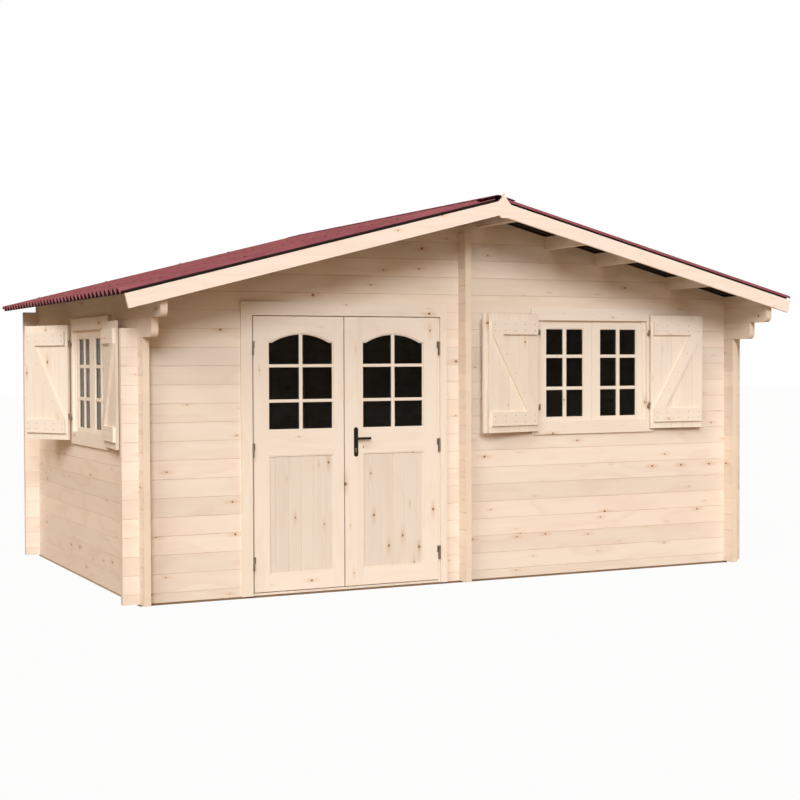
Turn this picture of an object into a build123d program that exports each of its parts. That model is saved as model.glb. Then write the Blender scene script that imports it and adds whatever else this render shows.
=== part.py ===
"""Log-walled garden shed with a corrugated roof, a double door, two windows and shutters.

Millimetres, +Z up, the front faces -Y. The origin is on the ground, at the centre of the walls' plan.
"""
from build123d import *
import math
import os

# Walls: stacked logs, cross-lapped at the corners
wall_width = 4600.0        # front wall, between the outer faces of the side walls
wall_depth = 2840.0        # side wall, between the outer faces of the front and rear walls
log_height = 120.0
log_thick = 44.0
log_stub = 107.0           # how far a log runs on past the wall it crosses
groove_depth = 2.5         # the V joint between two logs
groove_height = 5.0
runner_height = 15.0       # treated runners under the walls
runner_setback = 5.0
runner_width = 60.0
runner_joint = 0.3
cut_over = 1.0             # how far a cutting shape runs past what it cuts
floor_thick = 19.0
floor_gap = 4.0
side_log_count = 16
corbel_reach = (305.0, 495.0)   # the two top side logs step out under the front overhang
corbel_round = 42.0
cross_inside = 150.0       # how far the centre cross logs run into the room
door_log_count = 15        # whole front logs beside the openings

# Roof
roof_angle = 14.332        # degrees
eave_bearer_height = 69.0  # of the bearer on each side wall, at its outer face
front_overhang = 549.0
rear_overhang = 20.0       # of the bearers, behind the rear wall
eave_left = 2531.0
eave_right = 2430.0
barge_height = 90.0
barge_thick = 22.0
beak_tip = (35.0, 54.0)    # the pointed top of the right barge board, from the ridge point
beak_base = (-8.0, 88.0)
beak_sag = 5.0
beak_foot = (10.0, 62.0)
purlin_places = (150.0, 700.0, 1120.0, 1740.0)
purlin_width = 44.0
purlin_height = 85.0
sheet_pitch = 95.0
sheet_height = 38.0
sheet_thick = 3.0
sheet_crown = 24.0         # width of each eased crest and trough
sheet_ease = 20.0          # degrees
sheet_eave_lap = 15.0
sheet_ridge_gap = 20.0
sheet_lift = 0.3
cap_wing = 125.0
cap_round = 60.0
cap_thick = 3.0

# Door, with distances measured from the middle of the front wall
door_left = -1531.0        # outer edge of the left leaf
door_right = -187.0
door_meet = -889.5
door_gap = 9.0             # between the two leaves
leaf_foot_gap = 6.0        # between the sill and the leaves
leaf_thick = 36.0
leaf_proud = 8.0           # how far the leaf stands in front of the wall
jamb_thick = 29.0
jamb_clear = 5.0
head_thick = 33.0
stop_thick = 11.0
stop_width = 12.0
door_trim_left = 74.0
door_trim_right = 49.0
door_trim_gap = 15.0
door_header = 89.0
trim_thick = 20.0
sill_thick = 15.0
stile_width = 103.0
meeting_stile_left = 72.0
meeting_stile_right = 131.0
top_rail = 166.0           # from the leaf's top to the light's shoulders
arch_rise = 54.0
shoulder_width = 22.0
mid_rail = 164.0
panel_height = 778.0
bottom_rail = 112.0
panel_recess = 8.0
board_width = 90.0
board_groove = 3.0
glass_thick = 4.0
glass_fit = 0.3

# Ironmongery
hinge_radius = 6.5
hinge_height = 90.0
hinge_centres = (224.0, 964.0, 1629.0)
hinge_axis_out = 20.0      # pin axis in front of the wall face
hinge_axis_side = 7.5      # pin axis beside the leaf's edge
hinge_split = 0.15
knuckle_sides = 12
web_lap = 2.0              # how far a hinge's web runs into its barrel and its flap
flap_thick = 3.0
flap_length = 8.0          # of the part on the leaf's face
plate_size = (30.0, 197.0)
plate_centre_z = 1000.5
plate_thick = 4.0
spindle_from_edge = 80.0   # from the right leaf's meeting edge
lever_z = 1024.0
lever_length = 96.0
lever_section = (12.0, 16.0)
lever_neck_radius = 8.0
lever_neck = 34.0
lever_fit = 0.3

# Windows
window_width = 947.0       # opening in the logs
window_logs = 7
front_window_x = 1076.0
left_window_from_front = 1139.0
window_frame = 44.0
casing_side = 59.0
casing_lap = 12.0          # how far the side casings reach over the window frame
casing_top = 85.0
casing_over = 36.0         # head casing above the opening
casing_foot = 20.0         # sill casing below the opening
casing_sill = 89.0
sash_clear = 2.0
sash_thick = 32.0
sash_stile = 40.0
sash_meeting = 69.0
sash_top_rail = 60.0
sash_bottom_rail = 50.0

# Shutters
shutter_width = 452.0
shutter_height = 828.0
shutter_board = 18.0
shutter_batten = 18.0
batten_height = 98.0
batten_inset = 22.0
batten_from_end = 47.0
brace_width = 92.0
shutter_clear = 5.0
shutter_edge = 12.0        # from the hinge axis to the board
shutter_axis_in = 6.0      # hinge axis inside the opening's edge
shutter_low = 1.0          # below the middle of the opening
lath_over = 30.0
lath_on = 30.0
lath_thick = 12.0
knuckle_radius = 6.0
knuckle_height = 20.0
strap_thick = 6.0
knuckle_places = (170.0, 700.0)
open_front_left = 10.0     # degrees off the wall
open_front_right = 3.0
open_side_far = 28.7
open_side_near = 5.0

front = -wall_depth / 2
rear = wall_depth / 2
side = wall_width / 2
log_base = runner_height
side_top = log_base + side_log_count * log_height
roof_rise = math.tan(math.radians(roof_angle))
ridge_height = side_top + eave_bearer_height + roof_rise * side    # where the roof planes meet
cross_log_count = int((ridge_height - log_base) / log_height) - 1  # the top one ends below the ridge
long_seam = log_base + log_height / 2          # the front and rear walls start with half a log
opening_top = long_seam + door_log_count * log_height
roof_top = ridge_height + log_height
slope = math.radians(roof_angle)
stub_top = opening_top - log_height
leaf_top = opening_top - head_thick - jamb_clear
leaf_bottom = log_base + sill_thick + leaf_foot_gap
panel_bottom = leaf_bottom + bottom_rail
panel_top = panel_bottom + panel_height
glass_bottom = panel_top + mid_rail
glass_shoulder = leaf_top - top_rail
glass_crown = glass_shoulder + arch_rise
leaf_back = front - leaf_proud + leaf_thick
front_barge_face = front - front_overhang
purlin_span = (front_barge_face + barge_thick, rear + rear_overhang)
sheet_front = purlin_span[0]
sheet_waves = math.ceil((purlin_span[1] - sheet_front) / sheet_pitch)
front_window_bottom = opening_top - window_logs * log_height
side_window_bottom = front_window_bottom - log_height / 2
side_window_top = opening_top - log_height / 2
left_window_y = front + left_window_from_front


def block(x0, x1, y0, y1, z0, z1):
    """A box given by its corners."""
    size = (abs(x1 - x0), abs(y1 - y0), abs(z1 - z0))
    middle = ((x0 + x1) / 2, (y0 + y1) / 2, (z0 + z1) / 2)
    return Pos(*middle) * Box(*size)


def prism(points, direction, length):
    """A closed outline of 3-D points, extruded."""
    return extrude(make_face(Polyline(*points, close=True)), amount=length, dir=direction)


def roof_plane(x):
    """Height of the purlins' top at a distance from the ridge."""
    return ridge_height - roof_rise * abs(x)


def join(solids):
    """Fuse a list of solids."""
    whole = solids[0]
    for solid in solids[1:]:
        whole = whole + solid
    return whole


def outdoor_faces(place):
    """Whether a wall's lower and higher face show outdoors: both do at the middle of the shed."""
    return place < log_thick, place > -log_thick


def log_outline(z0, z1, first_seam, grooved):
    """Cross-section of stacked logs: (thickness, height) points, with a V at each seam outdoors."""
    seams = []
    seam = first_seam
    while seam < z1 - groove_height:
        if seam > z0 + groove_height:
            seams.append(seam)
        seam += log_height
    half = groove_height / 2
    outline = [(0.0, z0)]
    if grooved[0]:
        for seam in seams:
            outline += [(0.0, seam - half), (groove_depth, seam), (0.0, seam + half)]
    outline += [(0.0, z1), (log_thick, z1)]
    if grooved[1]:
        for seam in reversed(seams):
            outline += [(log_thick, seam + half), (log_thick - groove_depth, seam), (log_thick, seam - half)]
    outline.append((log_thick, z0))
    return outline


def long_wall(x0, x1, z0, z1, y_face):
    """Logs along X with their lower-Y face at y_face."""
    points = [(x0, y_face + t, z) for t, z in log_outline(z0, z1, long_seam, outdoor_faces(y_face))]
    return prism(points, (1, 0, 0), x1 - x0)


def side_wall(y0, y1, z0, z1, x_face):
    """Logs along Y with their lower-X face at x_face."""
    points = [(x_face + t, y0, z) for t, z in log_outline(z0, z1, log_base, outdoor_faces(x_face))]
    return prism(points, (0, 1, 0), y1 - y0)


def lap_cuts(x_face, y_face, first_centre, z0, z1):
    """Half-log slices taken out of one wall where another wall's logs pass through it."""
    cuts = []
    centre = first_centre
    while centre - log_height / 4 < z1:
        low = max(centre - log_height / 4, z0 - cut_over)
        high = min(centre + log_height / 4, z1 + cut_over)
        if high > low and centre + log_height / 4 > z0:
            cuts.append(block(x_face, x_face + log_thick, y_face, y_face + log_thick, low, high))
        centre += log_height
    return cuts


def long_cuts(x_face, y_face, z0, z1):
    """What a front or rear wall gives up to a crossing wall."""
    return lap_cuts(x_face, y_face, long_seam, z0, z1)


def side_cuts(x_face, y_face, z0, z1):
    """What a side or cross wall gives up to the front or rear wall."""
    return lap_cuts(x_face, y_face, log_base, z0, z1)


def cut_away(solid, cuts):
    """Take a list of solids out of one solid."""
    return solid - cuts if cuts else solid


def purlin(x):
    """One roof bearer with its top on the slope."""
    half = purlin_width / 2
    low = roof_plane(x) - purlin_height
    y0, y1 = purlin_span
    points = [(x - half, y0, low), (x + half, y0, low),
              (x + half, y0, roof_plane(x + half)), (x - half, y0, roof_plane(x - half))]
    return prism(points, (0, 1, 0), y1 - y0)


def eave_purlin(sign):
    """The bearer on top of a side wall, as thick as the logs."""
    outer = sign * side
    inner = sign * (side - log_thick)
    y0, y1 = purlin_span
    points = [(outer, y0, side_top), (inner, y0, side_top),
              (inner, y0, roof_plane(inner)), (outer, y0, roof_plane(outer))]
    return prism(points, (0, 1, 0), y1 - y0)


def all_purlins():
    places = [sign * x for x in purlin_places for sign in (-1, 1)]
    return [purlin(x) for x in places] + [eave_purlin(-1), eave_purlin(1)]


def above_roof():
    """Everything over the roof planes, to trim the gables with."""
    far = side + log_stub
    points = [(-far, front - log_stub, roof_plane(far)), (0, front - log_stub, ridge_height),
              (far, front - log_stub, roof_plane(far)), (far, front - log_stub, roof_top + log_height),
              (-far, front - log_stub, roof_top + log_height)]
    return prism(points, (0, 1, 0), wall_depth + 2 * log_stub)


def corner_trims(y_face, z0, z1):
    """The front wall's stubs stop under the corbels, and at the eaves both long walls end inside the sides."""
    trims = []
    far = side + log_stub
    for sign in (-1, 1):
        if y_face < 0 and z1 > stub_top:
            trims.append(block(sign * side, sign * far, y_face, y_face + log_thick,
                               max(stub_top, z0 - cut_over), z1 + cut_over))
        if z1 > side_top:
            trims.append(block(sign * (side - log_thick), sign * far, y_face, y_face + log_thick,
                               side_top, z1 + cut_over))
    return trims


def front_walls():
    """The front wall, split beside and over its openings."""
    far = side + log_stub
    door_from = door_left - jamb_clear - jamb_thick
    door_to = door_right + jamb_clear + jamb_thick
    window_from = front_window_x - window_width / 2
    window_to = front_window_x + window_width / 2
    left = long_wall(-far, door_from, log_base, opening_top, front)
    left = cut_away(left, long_cuts(-side, front, log_base, opening_top) + corner_trims(front, log_base, opening_top))
    centre = long_wall(door_to, window_from, log_base, opening_top, front)
    centre = cut_away(centre, long_cuts(-log_thick / 2, front, log_base, opening_top))
    under = long_wall(window_from, window_to, log_base, front_window_bottom, front)
    right = long_wall(window_to, far, log_base, opening_top, front)
    right = cut_away(right, long_cuts(side - log_thick, front, log_base, opening_top)
                     + corner_trims(front, log_base, opening_top))
    gable = gable_wall(front, opening_top)
    return {"front_wall_left": left, "front_wall_centre": centre, "front_wall_under_window": under,
            "front_wall_right": right, "front_gable": gable}


def gable_wall(y_face, z0):
    """Logs from z0 up to the roof, notched for the corners, the cross logs and the purlins."""
    far = side + log_stub
    wall = long_wall(-far, far, z0, roof_top, y_face)
    cuts = [above_roof()] + all_purlins() + corner_trims(y_face, z0, roof_top)
    for x_face in (-side, side - log_thick):
        cuts += long_cuts(x_face, y_face, z0, side_top - cut_over)
    cuts += long_cuts(-log_thick / 2, y_face, z0, cross_top() - cut_over)
    return cut_away(wall, cuts)


def cross_top():
    return log_base + cross_log_count * log_height


def cross_walls():
    """Short logs that cross the front and rear walls at the middle and stiffen them."""
    x_face = -log_thick / 2
    front_part = side_wall(front - log_stub, front + log_thick + cross_inside, log_base, cross_top(), x_face)
    front_part = cut_away(front_part, side_cuts(x_face, front, log_base, cross_top()))
    rear_part = side_wall(rear - log_thick - cross_inside, rear + log_stub, log_base, cross_top(), x_face)
    rear_part = cut_away(rear_part, side_cuts(x_face, rear - log_thick, log_base, cross_top()))
    return Compound([front_part.solid(), rear_part.solid()])


def corbel_end(solid, sign, reach, z0):
    """Round the lower front edge of a log that steps out under the overhang."""
    x_face = -side if sign < 0 else side - log_thick
    y_end = front - reach
    keep = Pos(x_face + log_thick / 2, y_end + corbel_round, z0 + corbel_round) * Rot(0, 90, 0) * Cylinder(
        corbel_round, log_thick + 2 * cut_over)
    corner = block(x_face - cut_over, x_face + log_thick + cut_over, y_end - cut_over, y_end + corbel_round,
                   z0 - cut_over, z0 + corbel_round)
    return solid - (corner - keep)


def stepped_side(sign, y1, z0, z1):
    """A side wall from the front corner to y1, with its corbel logs where it is tall enough."""
    x_face = -side if sign < 0 else side - log_thick
    first_corbel = side_top - 2 * log_height
    wall = None
    for low, high, reach in ((log_base, first_corbel, log_stub),
                             (first_corbel, first_corbel + log_height, corbel_reach[0]),
                             (first_corbel + log_height, side_top, corbel_reach[1])):
        if high <= z0 or low >= z1:
            continue
        piece = side_wall(front - reach, y1, max(low, z0), min(high, z1), x_face)
        if reach > log_stub:
            piece = corbel_end(piece, sign, reach, low)
        wall = piece if wall is None else wall + piece
    return cut_away(wall, side_cuts(x_face, front, z0, z1))


def side_walls():
    window_from = left_window_y - window_width / 2
    window_to = left_window_y + window_width / 2
    far = rear + log_stub
    x_left = -side
    x_right = side - log_thick
    rear_face = rear - log_thick
    left_rear = side_wall(window_to, far, log_base, side_window_top, x_left)
    left_rear = cut_away(left_rear, side_cuts(x_left, rear_face, log_base, side_window_top))
    left_top = stepped_side(-1, far, side_window_top, side_top)
    left_top = cut_away(left_top, side_cuts(x_left, rear_face, side_window_top, side_top))
    right = stepped_side(1, far, log_base, side_top)
    right = cut_away(right, side_cuts(x_right, rear_face, log_base, side_top))
    return {"left_wall_front": stepped_side(-1, window_from, log_base, side_window_top),
            "left_wall_rear": left_rear,
            "left_wall_under_window": side_wall(window_from, window_to, log_base, side_window_bottom, x_left),
            "left_wall_top": left_top, "right_wall": right}


def rear_wall():
    wall = gable_wall(rear - log_thick, log_base)
    return wall


def base_runners():
    """Treated runners on the ground: one under the front and rear walls, the rest across between them."""
    outer_x = side - runner_setback
    outer_y = rear - runner_setback
    inner_y = outer_y - runner_width
    runners = [block(-outer_x, outer_x, sign * inner_y, sign * outer_y, 0, runner_height) for sign in (-1, 1)]
    edge = outer_x - runner_width / 2
    for place in (-edge, -edge / 2, 0, edge / 2, edge):
        runners.append(block(place - runner_width / 2, place + runner_width / 2, runner_joint - inner_y,
                             inner_y - runner_joint, 0, runner_height))
    return Compound([runner.solid() for runner in runners])


def floor_deck():
    """Floor boards inside the walls, cut round the centre cross logs."""
    reach_x = side - log_thick - floor_gap
    reach_y = rear - log_thick - floor_gap
    deck = block(-reach_x, reach_x, -reach_y, reach_y, runner_height, runner_height + floor_thick)
    half = log_thick / 2 + floor_gap
    end = rear - log_thick - cross_inside - floor_gap
    for sign in (-1, 1):
        deck -= block(-half, half, sign * end, sign * rear, 0, leaf_bottom)
    return deck


def barge_outline(sign, far, near):
    """Corner points (x, z) of a barge board's lower end, from the ridge side at near to the eave."""
    drop = barge_height / math.cos(slope)
    inward = barge_height * math.sin(slope)
    end_z = roof_plane(far)
    foot_z = end_z - barge_height * math.cos(slope)
    return [(sign * far, end_z), (sign * (far - inward), foot_z), (sign * near, roof_plane(near) - drop)]


def square_cut():
    """The line where the left barge board is cut off square beside the ridge."""
    drop = barge_height / math.cos(slope)
    top = (-barge_height * math.sin(slope), roof_plane(barge_height * math.sin(slope)))
    foot = (0.0, ridge_height - drop)
    return top, foot


def barge_left(y0, far):
    top, foot = square_cut()
    end = barge_outline(-1, far, 0)
    points = [(x, y0, z) for x, z in [top] + end[:2] + [foot]]
    return prism(points, (0, 1, 0), barge_thick)


def barge_right(y0, far):
    """The right board laps over the ridge and rises to a pointed beak with hollow sides."""
    top, foot = square_cut()
    end = barge_outline(1, far, 0)
    drop = barge_height / math.cos(slope)
    left_base = (beak_base[0], roof_plane(beak_base[0]))
    right_base = (beak_base[1], roof_plane(beak_base[1]))
    tip = (beak_tip[0], ridge_height + beak_tip[1])

    def at(point):
        return (point[0], y0, point[1])

    def hollow(a, b, sag):
        middle = ((a[0] + b[0]) / 2 + sag, (a[1] + b[1]) / 2 - abs(sag))
        return ThreePointArc(at(a), at(middle), at(b))

    foot_right = (beak_foot[1], roof_plane(beak_foot[1]) - drop)
    foot_left = (beak_foot[0], foot_right[1])
    edges = [Line(at(foot), at(top)), Line(at(top), at(left_base)), hollow(left_base, tip, beak_sag),
             hollow(tip, right_base, -beak_sag), Line(at(right_base), at(end[0])), Line(at(end[0]), at(end[1])),
             Line(at(end[1]), at(foot_right)), Line(at(foot_right), at(foot_left)), Line(at(foot_left), at(foot))]
    face = make_face(edges)
    return extrude(face, amount=barge_thick, dir=(0, 1, 0))


def wave_line():
    """Middle line of the corrugated section: eased crests and troughs joined by straight flanks."""
    drop = sheet_crown / 2 * math.tan(math.radians(sheet_ease))
    mean = (sheet_height + sheet_thick) / 2
    points = [(0.0, mean)]
    for index in range(2 * sheet_waves):
        up = 1 if index % 2 == 0 else -1
        middle = (index + 0.5) * sheet_pitch / 2
        high = mean + up * sheet_height / 2
        points += [(middle - sheet_crown / 2, high - up * drop), (middle, high),
                   (middle + sheet_crown / 2, high - up * drop)]
    points.append((sheet_waves * sheet_pitch, mean))
    return points


def offset_line(points, distance):
    """The line moved sideways by a distance, with its corners mitred and its ends cut upright."""
    moved = []
    for index, (x, y) in enumerate(points):
        before = points[max(index - 1, 0)]
        after = points[min(index + 1, len(points) - 1)]
        angles = []
        if index > 0:
            angles.append(math.atan2(y - before[1], x - before[0]))
        if index < len(points) - 1:
            angles.append(math.atan2(after[1] - y, after[0] - x))
        heading = sum(angles) / 2 if len(angles) == 2 else 0.0
        reach = distance / math.cos(angles[0] - heading)
        moved.append((x - reach * math.sin(heading), y + reach * math.cos(heading)))
    return moved


def roof_sheet(sign, far):
    """Corrugated sheeting of one slope, from behind the front barge board to past the rear wall."""
    line = wave_line()
    outline = offset_line(line, sheet_thick / 2) + offset_line(line, -sheet_thick / 2)[::-1]
    face = make_face(Polyline(*outline, close=True))
    down = Vector(sign * math.cos(slope), 0, -math.sin(slope))
    up = Vector(sign * math.sin(slope), 0, math.cos(slope))
    y_start = sheet_front if sign > 0 else sheet_front + sheet_waves * sheet_pitch
    origin = Vector(0, y_start, ridge_height) + down * sheet_ridge_gap + up * sheet_lift
    plane = Plane(origin=origin, x_dir=(0, sign, 0), z_dir=down)
    length = far / math.cos(slope) + sheet_eave_lap - sheet_ridge_gap
    return extrude(plane * face, amount=length)


def ridge_cap():
    """Rounded cap over the ridge, lying on the sheets' crests."""
    rest = sheet_lift + sheet_height + sheet_thick + sheet_lift
    wires = []
    for level, bend in ((rest, cap_round - cap_thick), (rest + cap_thick, cap_round)):
        apex = ridge_height + level / math.cos(slope)
        wing_x = cap_wing * math.cos(slope) + level * math.sin(slope)
        wing_z = ridge_height - cap_wing * math.sin(slope) + level * math.cos(slope)
        wires.append(FilletPolyline((-wing_x, sheet_front, wing_z), (0, sheet_front, apex),
                                    (wing_x, sheet_front, wing_z), radius=bend))
    ends = [Line(wires[0] @ 0, wires[1] @ 0), Line(wires[0] @ 1, wires[1] @ 1)]
    face = make_face(wires[0].edges() + wires[1].edges() + [end.edge() for end in ends])
    return extrude(face, amount=sheet_waves * sheet_pitch, dir=(0, 1, 0))


def door_frame():
    """Jambs, head, stops, threshold and the trim boards nailed on the outside."""
    inner_left = door_left - jamb_clear
    inner_right = door_right + jamb_clear
    outer_left = inner_left - jamb_thick
    outer_right = inner_right + jamb_thick
    inside = front + log_thick
    stop_from = inside - stop_thick
    solids = [block(outer_left, inner_left, front, inside, log_base, opening_top),
              block(inner_right, outer_right, front, inside, log_base, opening_top),
              block(inner_left, inner_right, front, inside, opening_top - head_thick, opening_top),
              block(inner_left, inner_right, front, inside, log_base, log_base + sill_thick),
              block(inner_left, inner_left + stop_width + jamb_clear, stop_from, inside, log_base, opening_top),
              block(inner_right - stop_width - jamb_clear, inner_right, stop_from, inside, log_base, opening_top),
              block(inner_left, inner_right, stop_from, inside, leaf_top - stop_width, opening_top)]
    trim_left = door_left - door_trim_gap
    trim_right = door_right + door_trim_gap
    header_foot = leaf_top + jamb_clear
    face = front - trim_thick
    solids += [block(trim_left - door_trim_left, trim_left, face, front, log_base, header_foot),
               block(trim_right, trim_right + door_trim_right, face, front, log_base, header_foot),
               block(trim_left - door_trim_left, trim_right + door_trim_right, face, front,
                     header_foot, header_foot + door_header)]
    return join(solids)


def arch_outline(x0, x1, inset):
    """Edges of the glazed opening: straight sides, short shoulders and a segmental crown."""
    y = front - leaf_proud - cut_over
    left = x0 + inset
    right = x1 - inset
    low = glass_bottom + inset
    spring = glass_shoulder - inset
    crown = glass_crown - inset
    shoulder = shoulder_width
    points = [(left + shoulder, y, spring), (left, y, spring), (left, y, low), (right, y, low),
              (right, y, spring), (right - shoulder, y, spring)]
    sides = Polyline(*points)
    arc = ThreePointArc(points[-1], ((left + right) / 2, y, crown), points[0])
    return make_face(sides.edges() + [arc.edge()])


def leaf(x0, x1, stile0, stile1):
    """A door leaf: arched light above, framed panel of grooved boards below."""
    y0 = front - leaf_proud
    y1 = leaf_back
    body = block(x0, x1, y0, y1, leaf_bottom, leaf_top)
    light = extrude(arch_outline(x0 + stile0, x1 - stile1, 0), amount=leaf_thick + 2 * cut_over, dir=(0, 1, 0))
    body -= light
    panel_x = (x0 + stile0, x1 - stile1)
    for face, depth in ((y0, panel_recess), (y1, -panel_recess)):
        body -= block(panel_x[0], panel_x[1], face, face + depth, panel_bottom, panel_top)
    grooves = []
    middle = (panel_x[0] + panel_x[1]) / 2
    count = int((panel_x[1] - panel_x[0]) / 2 / board_width)
    for index in range(-count, count + 1):
        x = middle + index * board_width
        for face, inward in ((y0 + panel_recess, 1), (y1 - panel_recess, -1)):
            points = [(x - board_groove, face, panel_bottom), (x + board_groove, face, panel_bottom),
                      (x, face + inward * board_groove, panel_bottom)]
            grooves.append(prism(points, (0, 0, 1), panel_top - panel_bottom))
    return body - grooves


def leaf_glass(x0, x1, stile0, stile1):
    """The pane, halfway through the leaf's thickness."""
    pane = extrude(arch_outline(x0 + stile0, x1 - stile1, glass_fit), amount=glass_thick, dir=(0, 1, 0))
    return Pos(0, cut_over + leaf_thick / 2 - glass_thick / 2, 0) * pane


def hinge_axis(hand):
    """Where a leaf's pins stand: hand is -1 for the left leaf and 1 for the right."""
    x = door_left - hinge_axis_side if hand < 0 else door_right + hinge_axis_side
    return x, front - hinge_axis_out


def barrel(x, y, z0, z1, radius):
    """A hinge knuckle, with few sides because there are many knuckles."""
    return Pos(x, y, z0) * extrude(RegularPolygon(radius, knuckle_sides), amount=z1 - z0)


def leaf_hinges(hand):
    """Upper knuckles with the flaps on the leaf's face."""
    x, y = hinge_axis(hand)
    edge = door_left if hand < 0 else door_right
    face = front - leaf_proud
    pieces = []
    for centre in hinge_centres:
        low = centre + hinge_split
        high = centre + hinge_height / 2
        web = block(x + hand * web_lap, edge - hand * web_lap, y + web_lap, face, low, high)
        flap = block(edge + hand * web_lap, edge - hand * flap_length, face - flap_thick, face, low, high)
        pieces.append((barrel(x, y, low, high, hinge_radius) + web + flap).solid())
    return Compound(pieces)


def door_fixed_hinges(hand):
    """Lower knuckles with a short plate back to the jamb."""
    x, y = hinge_axis(hand)
    pieces = []
    for centre in hinge_centres:
        low = centre - hinge_height / 2
        high = centre - hinge_split
        plate = block(x - flap_thick / 2, x + flap_thick / 2, y + web_lap, front, low, high)
        pieces.append((barrel(x, y, low, high, hinge_radius) + plate).solid())
    return pieces


def spindle_x():
    return door_meet + door_gap / 2 + spindle_from_edge


def handle_plates():
    """Round-ended backplates on both faces of the right leaf."""
    width, height = plate_size
    pieces = []
    for y in (front - leaf_proud - plate_thick, leaf_back):
        plane = Plane(origin=(spindle_x(), y, plate_centre_z), x_dir=(1, 0, 0), z_dir=(0, -1, 0))
        outline = plane * SlotOverall(height, width, rotation=90)
        pieces.append(extrude(outline, amount=plate_thick, dir=(0, 1, 0)).solid())
    return Compound(pieces)


def lever():
    """Lever handles outside and inside: a neck and a bar that bends back towards the door."""
    pieces = []
    for face, out in ((front - leaf_proud - plate_thick, -1), (leaf_back + plate_thick, 1)):
        start = face + out * lever_fit
        end = start + out * lever_neck
        neck = Pos(spindle_x(), (start + end) / 2, lever_z) * Rot(90, 0, 0) * Cylinder(
            lever_neck_radius, abs(end - start))
        depth, height = lever_section
        bar = block(spindle_x() - lever_neck_radius, spindle_x() + lever_length, end - out * depth, end,
                    lever_z - height / 2, lever_z + height / 2)
        bar = chamfer(bar.edges().filter_by(Axis.X), depth / 4)
        pieces.append((neck + bar).solid())
    return Compound(pieces)


def window_frame_solid(bottom, top):
    """Frame in the opening and casing boards outside, centred on X = 0 with the wall face at Y = 0."""
    half = window_width / 2
    ring = block(-half, half, 0, log_thick, bottom, top)
    ring -= block(-half + window_frame, half - window_frame, -cut_over, log_thick + cut_over,
                  bottom + window_frame, top - window_frame)
    inner = half - casing_lap
    outer = inner + casing_side
    casing = block(-outer, outer, -trim_thick, 0, bottom - casing_foot, top + casing_over)
    casing -= block(-inner, inner, -trim_thick - cut_over, cut_over, bottom - casing_foot + casing_sill,
                    top + casing_over - casing_top)
    return ring + casing


def sash_openings(bottom, top):
    """X and Z limits of the two lights."""
    half = window_width / 2 - window_frame - sash_clear
    low = bottom + window_frame + sash_clear + sash_bottom_rail
    high = top - window_frame - sash_clear - sash_top_rail
    return [(-half + sash_stile, -sash_meeting, low, high), (sash_meeting, half - sash_stile, low, high)]


def window_sashes(bottom, top):
    """Two casement sashes without their glazing bars."""
    half = window_width / 2 - window_frame
    y0 = (log_thick - sash_thick) / 2
    sashes = []
    for (x0, x1, low, high), (left, right) in zip(sash_openings(bottom, top),
                                                 ((-half, -sash_clear / 2), (sash_clear / 2, half))):
        body = block(left, right, y0, y0 + sash_thick, bottom + window_frame, top - window_frame)
        body -= block(x0, x1, y0 - cut_over, y0 + sash_thick + cut_over, low, high)
        sashes.append(body.solid())
    return Compound(sashes)


def window_glass(bottom, top):
    panes = []
    y = log_thick / 2
    for x0, x1, low, high in sash_openings(bottom, top):
        panes.append(block(x0 + glass_fit, x1 - glass_fit, y - glass_thick / 2, y + glass_thick / 2,
                           low + glass_fit, high - glass_fit).solid())
    return Compound(panes)


def shutter_axis_out():
    """Distance of a shutter's hinge axis from the wall face."""
    return trim_thick + shutter_clear + shutter_board


def shutter_solid(hand, with_lath):
    """A ledged and braced shutter hanging open: hinge axis at X = 0, wall face at Y = 0.

    hand -1 hangs to the left of its axis, 1 to the right. The battens face away from the wall.
    """
    back = -(shutter_axis_out() - shutter_board)
    face = -shutter_axis_out()
    x0 = shutter_edge
    x1 = shutter_edge + shutter_width

    def wide(a, b, y0, y1, z0, z1):
        return block(hand * a, hand * b, y0, y1, z0, z1)

    solids = [wide(x0, x1, back, face, 0, shutter_height)]
    out = face - shutter_batten
    low_top = batten_from_end + batten_height
    high_foot = shutter_height - batten_from_end - batten_height
    solids.append(wide(x0 + batten_inset, x1 - batten_inset, face, out, batten_from_end, low_top))
    solids.append(wide(x0 + batten_inset, x1 - batten_inset, face, out, high_foot, high_foot + batten_height))
    a = x0 + batten_inset
    b = x1 - batten_inset
    brace = [(hand * a, face, low_top), (hand * (a + brace_width), face, low_top),
             (hand * b, face, high_foot), (hand * (b - brace_width), face, high_foot)]
    solids.append(prism(brace, (0, -1, 0), shutter_batten))
    if with_lath:
        wall_side = back + shutter_clear + lath_thick
        solids.append(wide(x1 - lath_on, x1, back, wall_side, 0, shutter_height))
        solids.append(wide(x1 - lath_on, x1 + lath_over, back + shutter_clear, wall_side, 0, shutter_height))
    return join(solids)


def shutter_knuckles(hand):
    """Moving knuckles: a barrel on the axis and a strap on the board's edge."""
    y = -shutter_axis_out()
    pieces = []
    for z in knuckle_places:
        low = z + hinge_split
        high = z + knuckle_height
        strap = block(0, hand * shutter_edge, y, y + strap_thick, low, high)
        pieces.append((barrel(0, y, low, high, knuckle_radius) + strap).solid())
    return Compound(pieces)


def shutter_brackets():
    """Fixed knuckles: a barrel on a bracket that stands on the side casing."""
    y = -shutter_axis_out()
    pieces = []
    for z in knuckle_places:
        low = z - knuckle_height
        high = z - hinge_split
        arm = block(-knuckle_radius / 2, knuckle_radius / 2, y, -trim_thick, low, high)
        pieces.append((barrel(0, y, low, high, knuckle_radius) + arm).solid())
    return pieces


def front_place(x, z):
    """From a piece built round X = 0, with the wall face at Y = 0, to the front wall."""
    return Pos(x, front, z)


def left_place(y, z):
    """The same for the left wall: the piece's +X points to the front of the shed."""
    return Pos(-side, y, z) * Rot(0, 0, -90)


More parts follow.
